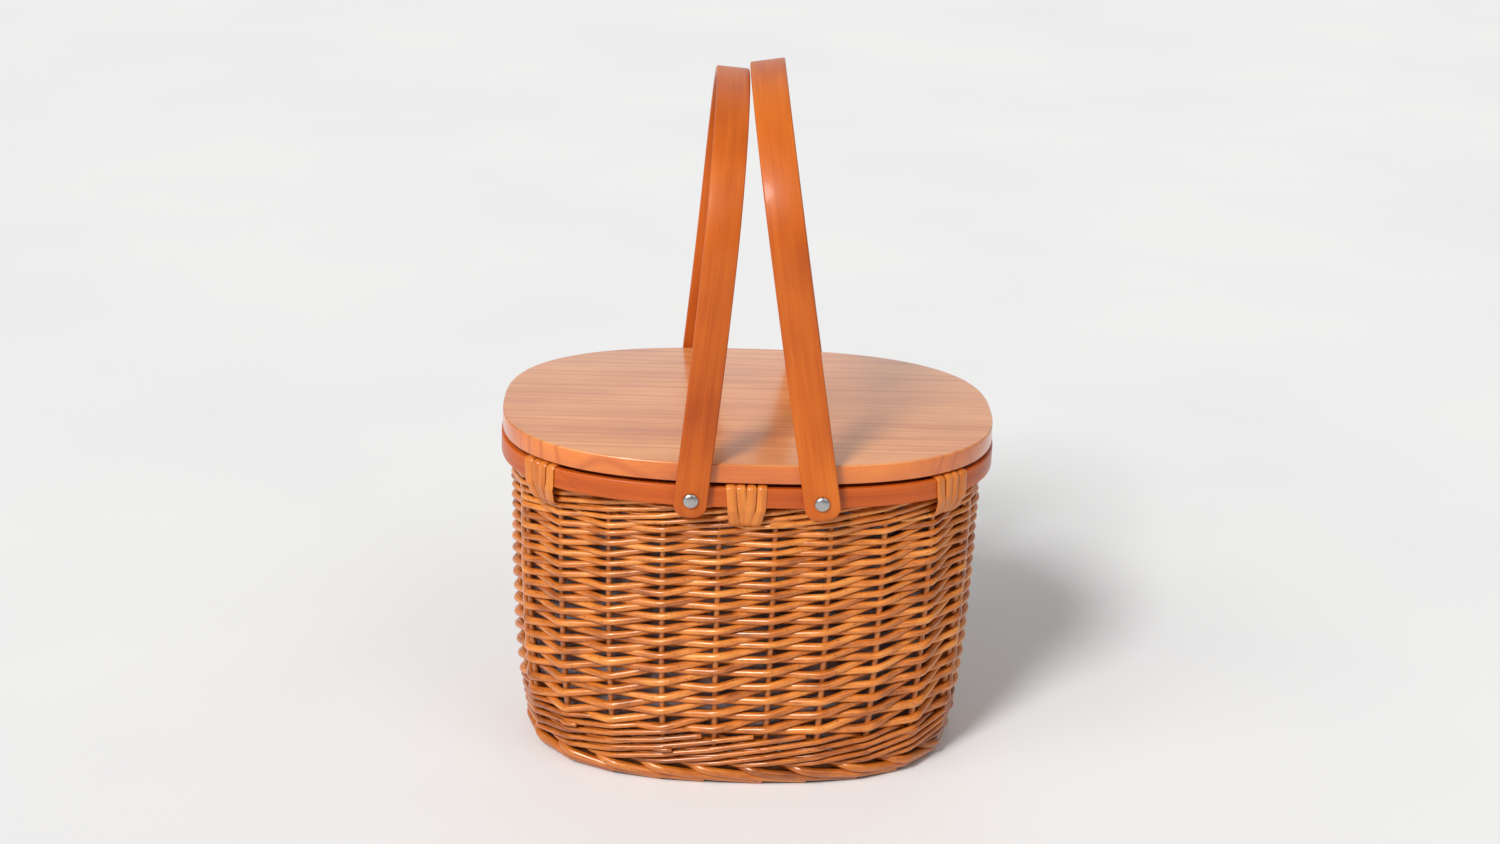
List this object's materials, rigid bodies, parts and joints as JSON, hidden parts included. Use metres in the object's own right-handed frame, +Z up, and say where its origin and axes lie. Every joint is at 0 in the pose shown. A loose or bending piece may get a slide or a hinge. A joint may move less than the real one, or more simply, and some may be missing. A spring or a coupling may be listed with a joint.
{
  "type": "picnic basket",
  "caption": "Oval woven willow picnic basket with a bentwood rim, cane lashings, swinging bentwood strip handles, a lift-off board lid and an insulated lining.",
  "frame": {"origin": "centre of the foot, on the surface that the basket stands on", "axes": "+X along the basket's long axis, towards the end where the handle pivots lie further out; +Y from the front towards the back; +Z up"},
  "size_m": [0.402, 0.303, 0.5732],
  "materials": {
    "willow": "varnished whole willow rods, orange tan, semi-gloss with dark specks",
    "base_willow": "varnished willow rods and sticks, semi-gloss",
    "cane": "smooth orange-tan cane strip, satin",
    "rim_wood": "red-brown stained bentwood with lengthwise grain, satin",
    "handle_wood": "orange-brown stained bentwood with lengthwise grain, satin",
    "lid_pine": "pale peach-tan varnished pine boards with lengthwise grain, semi-gloss",
    "batten_wood": "varnished pine, satin",
    "rivet_nickel": "nickel-plated domed heads, bright",
    "steel": "zinc-plated steel, satin",
    "foil_lining": "silver-grey coated insulating fabric, slightly crinkled"
  },
  "bodies": {
    "basket_body": {"foot_border": "willow", "upsett_wale": "willow", "woven_siding": "willow", "top_wale": "willow", "woven_base": "base_willow", "stake_01": "willow", "stake_02": "willow", "stake_03": "willow", "stake_04": "willow", "stake_05": "willow", "stake_06": "willow", "stake_07": "willow", "stake_08": "willow", "stake_09": "willow", "stake_10": "willow", "stake_11": "willow", "stake_12": "willow", "stake_13": "willow", "stake_14": "willow", "stake_15": "willow", "stake_16": "willow", "stake_17": "willow", "stake_18": "willow", "stake_19": "willow", "stake_20": "willow", "stake_21": "willow", "stake_22": "willow", "stake_23": "willow", "stake_24": "willow", "rim_outer_hoop": "rim_wood", "rim_inner_hoop": "rim_wood", "insulated_lining": "foil_lining", "lashing_front": "cane", "lashing_back": "cane", "lashing_front_left": "cane", "lashing_front_right": "cane", "lashing_back_left": "cane", "lashing_back_right": "cane", "rivet_left_front": "rivet_nickel", "rivet_left_back": "rivet_nickel", "rivet_right_front": "rivet_nickel", "rivet_right_back": "rivet_nickel", "washer_left_front": "steel", "washer_left_back": "steel", "washer_right_front": "steel", "washer_right_back": "steel"},
    "lid": {"lid_board_front": "lid_pine", "lid_board_middle": "lid_pine", "lid_board_back": "lid_pine", "lid_batten_left": "batten_wood", "lid_batten_right": "batten_wood", "batten_screw_1": "steel", "batten_screw_2": "steel", "batten_screw_3": "steel", "batten_screw_4": "steel", "batten_screw_5": "steel", "batten_screw_6": "steel"},
    "handle_left": {"handle_left": "handle_wood"},
    "handle_right": {"handle_right": "handle_wood"}
  },
  "joints": [
    {"name": "handle_left_pivot", "type": "hinge", "parent": "basket_body", "child": "handle_left", "pos_m": [-0.045, 0, 0.2615], "axis": [0, -1, 0], "range_deg": [0, 148]},
    {"name": "handle_right_pivot", "type": "hinge", "parent": "basket_body", "child": "handle_right", "pos_m": [0.0564, 0, 0.2615], "axis": [0, 1, 0], "range_deg": [0, 148]},
    {"name": "lid_lift", "type": "slide", "parent": "basket_body", "child": "lid", "axis": [0, 0, 1], "range_m": [0, 0.09]}
  ]
}
